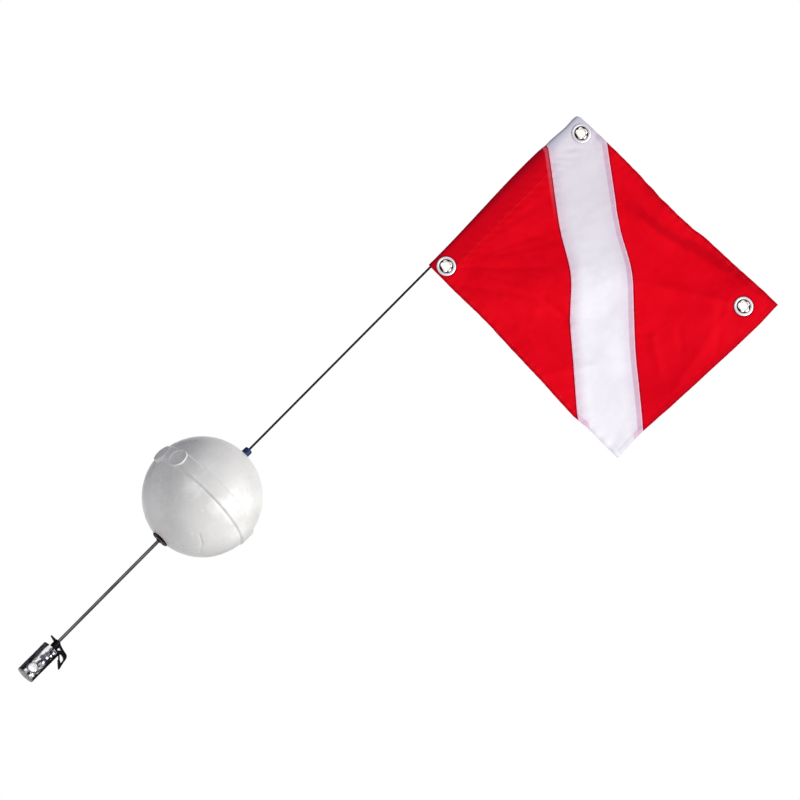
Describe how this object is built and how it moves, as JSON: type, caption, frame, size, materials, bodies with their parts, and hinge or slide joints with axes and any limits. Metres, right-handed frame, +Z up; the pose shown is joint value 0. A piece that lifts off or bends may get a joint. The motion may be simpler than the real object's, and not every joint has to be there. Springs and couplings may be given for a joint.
{
  "type": "dive flag float",
  "caption": "Upright float for diving: foam ball on a weighted tube, with a diagonally striped flag on a thin rod above it and a line clip at its foot.",
  "frame": {"origin": "centre of the foam ball, on the pole's axis, about where the water's surface is", "axes": "+Z up the pole from the weight to the flag, +X along the flag from the pole to its fly edge, -Y towards the side with the grommets' washers"},
  "size_m": [0.473, 0.173, 1.1405],
  "materials": {
    "bead_foam": "satin moulded bead foam",
    "weight_metal": "bright, mottled",
    "tube_metal": "drawn, dull",
    "rod_black": "satin black glass fibre",
    "clip_black": "moulded, satin",
    "washer_rubber": "matt",
    "nut_steel": "black oxide",
    "navy_vinyl": "satin vinyl",
    "liner_plastic": "satin",
    "red_nylon": "thin glossy woven nylon",
    "white_nylon": "thin glossy woven nylon",
    "grommet_nickel": "nickel plated",
    "grommet_brass": "worn plating over brass"
  },
  "bodies": {
    "spar": {"lower_tube": "tube_metal", "tow_weight": "weight_metal", "retainer_washer": "washer_rubber", "push_nut": "nut_steel", "stop_cap": "navy_vinyl"},
    "float": {"foam_ball": "bead_foam", "bore_liner": "liner_plastic"},
    "mast": {"upper_rod": "rod_black", "rod_tip_cap": "navy_vinyl"},
    "flag": {"flag_hoist_panel": "red_nylon", "flag_fly_panel": "red_nylon", "flag_stripe": "white_nylon", "hoist_grommet_eyelet": "grommet_brass", "hoist_grommet_washer": "grommet_nickel", "top_grommet_eyelet": "grommet_brass", "top_grommet_washer": "grommet_nickel", "fly_grommet_eyelet": "grommet_brass", "fly_grommet_washer": "grommet_nickel"},
    "clip_collar": {"clip_bush": "clip_black"},
    "clip": {"clip_hook": "clip_black", "gate_pin": "nut_steel"},
    "gate": {"clip_gate": "clip_black"}
  },
  "joints": [
    {"name": "float_spin", "type": "hinge", "parent": "spar", "child": "float", "pos_m": [0, 0, 0], "axis": [0, 0, 1], "continuous": true},
    {"name": "mast_slide", "type": "slide", "parent": "spar", "child": "mast", "axis": [0, 0, 1], "range_m": [0, 0.1]},
    {"name": "flag_turn", "type": "hinge", "parent": "mast", "child": "flag", "pos_m": [0, 0, 0.467], "axis": [0, 0, 1], "continuous": true},
    {"name": "clip_slide", "type": "slide", "parent": "spar", "child": "clip_collar", "axis": [0, 0, 1], "range_m": [0, 0.2]},
    {"name": "clip_turn", "type": "hinge", "parent": "clip_collar", "child": "clip", "pos_m": [0, 0, -0.2992], "axis": [0, 0, 1], "continuous": true},
    {"name": "gate_open", "type": "hinge", "parent": "clip", "child": "gate", "pos_m": [0.01109, 0, -0.3031], "axis": [0, -1, 0], "range_deg": [0, 22], "stiffness_Nm_per_rad": 0.008, "springref_deg": -45.84}
  ]
}
